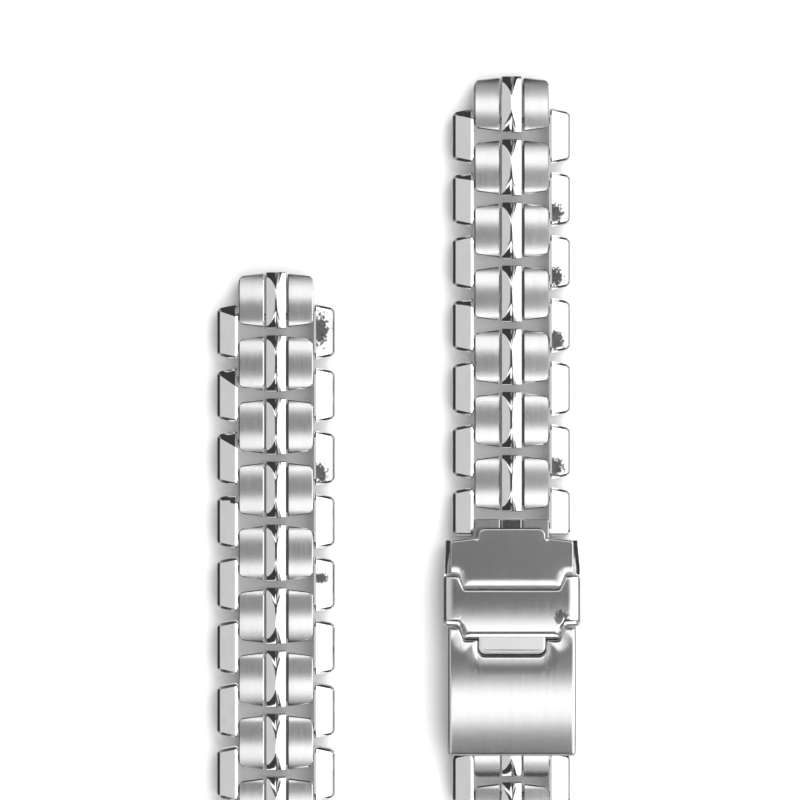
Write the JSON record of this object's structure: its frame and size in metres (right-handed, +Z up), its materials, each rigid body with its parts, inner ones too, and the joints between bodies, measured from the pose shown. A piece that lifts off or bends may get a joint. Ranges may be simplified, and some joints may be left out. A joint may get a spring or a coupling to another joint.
{
  "type": "link watch bracelet",
  "caption": "Steel link watch bracelet parted into two lengths: brushed and polished centre links between polished side links, with a folding clasp and a flip-over safety catch.",
  "frame": {"origin": "under the middle of the two lengths as they lie side by side", "axes": "+Y along the lengths towards their case ends, +X from the plain length to the one with the clasp, +Z up through the outer face"},
  "size_m": [0.0566, 0.1232, 0.005],
  "materials": {
    "brushed": "brushed",
    "polished": "polished"
  },
  "bodies": {
    "clasp_base": {"clasp_lower_blade": "brushed", "clasp_end_lug": "brushed", "clasp_hood": "brushed", "catch_pivot_studs": "polished", "clasp_fold_pin": "polished"},
    "safety_catch": {"safety_catch": "polished"},
    "middle_blade": {"clasp_middle_blade": "brushed", "cover_hinge_pins": "polished"},
    "cover": {"clasp_cover": "brushed", "adjuster_spring_bar": "polished"},
    "stub_end_link": {"stub_end_link": "brushed"},
    "stub_side_links": {"stub_side_links": "polished"},
    "stub_centre_link": {"stub_centre_link": "brushed"},
    "right_side_links_07": {"right_side_links_07": "polished"},
    "right_centre_link_07": {"right_centre_link_07": "brushed"},
    "right_side_links_06": {"right_side_links_06": "polished"},
    "right_centre_link_06": {"right_centre_link_06": "brushed"},
    "right_side_links_05": {"right_side_links_05": "polished"},
    "right_centre_link_05": {"right_centre_link_05": "brushed"},
    "right_side_links_04": {"right_side_links_04": "polished"},
    "right_centre_link_04": {"right_centre_link_04": "brushed"},
    "right_side_links_03": {"right_side_links_03": "polished"},
    "right_centre_link_03": {"right_centre_link_03": "brushed"},
    "right_side_links_02": {"right_side_links_02": "polished"},
    "right_centre_link_02": {"right_centre_link_02": "brushed"},
    "right_side_links_01": {"right_side_links_01": "polished"},
    "right_centre_link_01": {"right_centre_link_01": "brushed"},
    "left_centre_link_05": {"left_centre_link_05": "brushed"},
    "left_side_links_04": {"left_side_links_04": "polished"},
    "left_centre_link_04": {"left_centre_link_04": "brushed"},
    "left_side_links_03": {"left_side_links_03": "polished"},
    "left_centre_link_03": {"left_centre_link_03": "brushed"},
    "left_side_links_02": {"left_side_links_02": "polished"},
    "left_centre_link_02": {"left_centre_link_02": "brushed"},
    "left_side_links_01": {"left_side_links_01": "polished"},
    "left_centre_link_01": {"left_centre_link_01": "brushed"},
    "left_side_links_05": {"left_side_links_05": "polished"},
    "left_centre_link_06": {"left_centre_link_06": "brushed"},
    "left_side_links_06": {"left_side_links_06": "polished"},
    "left_centre_link_07": {"left_centre_link_07": "brushed"},
    "left_side_links_07": {"left_side_links_07": "polished"},
    "left_centre_link_08": {"left_centre_link_08": "brushed"},
    "left_side_links_08": {"left_side_links_08": "polished"},
    "left_centre_link_09": {"left_centre_link_09": "brushed"},
    "left_side_links_09": {"left_side_links_09": "polished"}
  },
  "joints": [
    {"name": "safety_catch_pivot", "type": "hinge", "parent": "clasp_base", "child": "safety_catch", "pos_m": [0.01762, -0.01312, 0.0022], "axis": [-1, 0, 0], "range_deg": [0, 110]},
    {"name": "blade_fold", "type": "hinge", "parent": "clasp_base", "child": "middle_blade", "pos_m": [0.01762, -0.03923, 0.00095], "axis": [1, 0, 0], "range_deg": [0, 170]},
    {"name": "cover_hinge", "type": "hinge", "parent": "middle_blade", "child": "cover", "pos_m": [0.01762, -0.02732, 0.002], "axis": [1, 0, 0], "range_deg": [-170, 0]},
    {"name": "stub_end_hinge", "type": "hinge", "parent": "cover", "child": "stub_end_link", "pos_m": [0.01762, -0.04217, 0.0016], "axis": [1, 0, 0], "range_deg": [-4, 18]},
    {"name": "stub_side_hinge", "type": "hinge", "parent": "stub_end_link", "child": "stub_side_links", "pos_m": [0.01762, -0.04575, 0.0016], "axis": [1, 0, 0], "range_deg": [-8, 18]},
    {"name": "stub_centre_hinge", "type": "hinge", "parent": "stub_side_links", "child": "stub_centre_link", "pos_m": [0.01762, -0.05069, 0.0016], "axis": [1, 0, 0], "range_deg": [-8, 18]},
    {"name": "right_side_links_07_hinge", "type": "hinge", "parent": "clasp_base", "child": "right_side_links_07", "pos_m": [0.01762, -0.00863, 0.0016], "axis": [-1, 0, 0], "range_deg": [-8, 18]},
    {"name": "right_centre_link_07_hinge", "type": "hinge", "parent": "right_side_links_07", "child": "right_centre_link_07", "pos_m": [0.01762, -0.00445, 0.0016], "axis": [-1, 0, 0], "range_deg": [-8, 18]},
    {"name": "right_side_links_06_hinge", "type": "hinge", "parent": "right_centre_link_07", "child": "right_side_links_06", "pos_m": [0.01762, 0.00047, 0.0016], "axis": [-1, 0, 0], "range_deg": [-8, 18]},
    {"name": "right_centre_link_06_hinge", "type": "hinge", "parent": "right_side_links_06", "child": "right_centre_link_06", "pos_m": [0.01762, 0.00541, 0.0016], "axis": [-1, 0, 0], "range_deg": [-8, 18]},
    {"name": "right_side_links_05_hinge", "type": "hinge", "parent": "right_centre_link_06", "child": "right_side_links_05", "pos_m": [0.01762, 0.01034, 0.0016], "axis": [-1, 0, 0], "range_deg": [-8, 18]},
    {"name": "right_centre_link_05_hinge", "type": "hinge", "parent": "right_side_links_05", "child": "right_centre_link_05", "pos_m": [0.01762, 0.01527, 0.0016], "axis": [-1, 0, 0], "range_deg": [-8, 18]},
    {"name": "right_side_links_04_hinge", "type": "hinge", "parent": "right_centre_link_05", "child": "right_side_links_04", "pos_m": [0.01762, 0.0202, 0.0016], "axis": [-1, 0, 0], "range_deg": [-8, 18]},
    {"name": "right_centre_link_04_hinge", "type": "hinge", "parent": "right_side_links_04", "child": "right_centre_link_04", "pos_m": [0.01762, 0.02513, 0.0016], "axis": [-1, 0, 0], "range_deg": [-8, 18]},
    {"name": "right_side_links_03_hinge", "type": "hinge", "parent": "right_centre_link_04", "child": "right_side_links_03", "pos_m": [0.01762, 0.03005, 0.0016], "axis": [-1, 0, 0], "range_deg": [-8, 18]},
    {"name": "right_centre_link_03_hinge", "type": "hinge", "parent": "right_side_links_03", "child": "right_centre_link_03", "pos_m": [0.01762, 0.03499, 0.0016], "axis": [-1, 0, 0], "range_deg": [-8, 18]},
    {"name": "right_side_links_02_hinge", "type": "hinge", "parent": "right_centre_link_03", "child": "right_side_links_02", "pos_m": [0.01762, 0.03991, 0.0016], "axis": [-1, 0, 0], "range_deg": [-8, 18]},
    {"name": "right_centre_link_02_hinge", "type": "hinge", "parent": "right_side_links_02", "child": "right_centre_link_02", "pos_m": [0.01762, 0.04485, 0.0016], "axis": [-1, 0, 0], "range_deg": [-8, 18]},
    {"name": "right_side_links_01_hinge", "type": "hinge", "parent": "right_centre_link_02", "child": "right_side_links_01", "pos_m": [0.01762, 0.04977, 0.0016], "axis": [-1, 0, 0], "range_deg": [-8, 18]},
    {"name": "right_centre_link_01_hinge", "type": "hinge", "parent": "right_side_links_01", "child": "right_centre_link_01", "pos_m": [0.01762, 0.0547, 0.0016], "axis": [-1, 0, 0], "range_deg": [-8, 18]},
    {"name": "left_length_lift", "type": "slide", "parent": "clasp_base", "child": "left_centre_link_05", "axis": [0, 0, 1], "range_m": [0, 0.03]},
    {"name": "left_side_links_04_hinge", "type": "hinge", "parent": "left_centre_link_05", "child": "left_side_links_04", "pos_m": [-0.01918, -0.0104, 0.0016], "axis": [-1, 0, 0], "range_deg": [-8, 18]},
    {"name": "left_centre_link_04_hinge", "type": "hinge", "parent": "left_side_links_04", "child": "left_centre_link_04", "pos_m": [-0.01918, -0.00547, 0.0016], "axis": [-1, 0, 0], "range_deg": [-8, 18]},
    {"name": "left_side_links_03_hinge", "type": "hinge", "parent": "left_centre_link_04", "child": "left_side_links_03", "pos_m": [-0.01918, -0.00055, 0.0016], "axis": [-1, 0, 0], "range_deg": [-8, 18]},
    {"name": "left_centre_link_03_hinge", "type": "hinge", "parent": "left_side_links_03", "child": "left_centre_link_03", "pos_m": [-0.01918, 0.00439, 0.0016], "axis": [-1, 0, 0], "range_deg": [-8, 18]},
    {"name": "left_side_links_02_hinge", "type": "hinge", "parent": "left_centre_link_03", "child": "left_side_links_02", "pos_m": [-0.01918, 0.00932, 0.0016], "axis": [-1, 0, 0], "range_deg": [-8, 18]},
    {"name": "left_centre_link_02_hinge", "type": "hinge", "parent": "left_side_links_02", "child": "left_centre_link_02", "pos_m": [-0.01918, 0.01425, 0.0016], "axis": [-1, 0, 0], "range_deg": [-8, 18]},
    {"name": "left_side_links_01_hinge", "type": "hinge", "parent": "left_centre_link_02", "child": "left_side_links_01", "pos_m": [-0.01918, 0.01918, 0.0016], "axis": [-1, 0, 0], "range_deg": [-8, 18]},
    {"name": "left_centre_link_01_hinge", "type": "hinge", "parent": "left_side_links_01", "child": "left_centre_link_01", "pos_m": [-0.01918, 0.02411, 0.0016], "axis": [-1, 0, 0], "range_deg": [-8, 18]},
    {"name": "left_side_links_05_hinge", "type": "hinge", "parent": "left_centre_link_05", "child": "left_side_links_05", "pos_m": [-0.01918, -0.01533, 0.0016], "axis": [1, 0, 0], "range_deg": [-8, 18]},
    {"name": "left_centre_link_06_hinge", "type": "hinge", "parent": "left_side_links_05", "child": "left_centre_link_06", "pos_m": [-0.01918, -0.02026, 0.0016], "axis": [1, 0, 0], "range_deg": [-8, 18]},
    {"name": "left_side_links_06_hinge", "type": "hinge", "parent": "left_centre_link_06", "child": "left_side_links_06", "pos_m": [-0.01918, -0.02519, 0.0016], "axis": [1, 0, 0], "range_deg": [-8, 18]},
    {"name": "left_centre_link_07_hinge", "type": "hinge", "parent": "left_side_links_06", "child": "left_centre_link_07", "pos_m": [-0.01918, -0.03012, 0.0016], "axis": [1, 0, 0], "range_deg": [-8, 18]},
    {"name": "left_side_links_07_hinge", "type": "hinge", "parent": "left_centre_link_07", "child": "left_side_links_07", "pos_m": [-0.01918, -0.03506, 0.0016], "axis": [1, 0, 0], "range_deg": [-8, 18]},
    {"name": "left_centre_link_08_hinge", "type": "hinge", "parent": "left_side_links_07", "child": "left_centre_link_08", "pos_m": [-0.01918, -0.03998, 0.0016], "axis": [1, 0, 0], "range_deg": [-8, 18]},
    {"name": "left_side_links_08_hinge", "type": "hinge", "parent": "left_centre_link_08", "child": "left_side_links_08", "pos_m": [-0.01918, -0.04491, 0.0016], "axis": [1, 0, 0], "range_deg": [-8, 18]},
    {"name": "left_centre_link_09_hinge", "type": "hinge", "parent": "left_side_links_08", "child": "left_centre_link_09", "pos_m": [-0.01918, -0.04985, 0.0016], "axis": [1, 0, 0], "range_deg": [-8, 18]},
    {"name": "left_side_links_09_hinge", "type": "hinge", "parent": "left_centre_link_09", "child": "left_side_links_09", "pos_m": [-0.01918, -0.05477, 0.0016], "axis": [1, 0, 0], "range_deg": [-8, 18]}
  ],
  "couplings": [
    {"joint": "cover_hinge", "follows": "blade_fold", "ratio": -1}
  ]
}
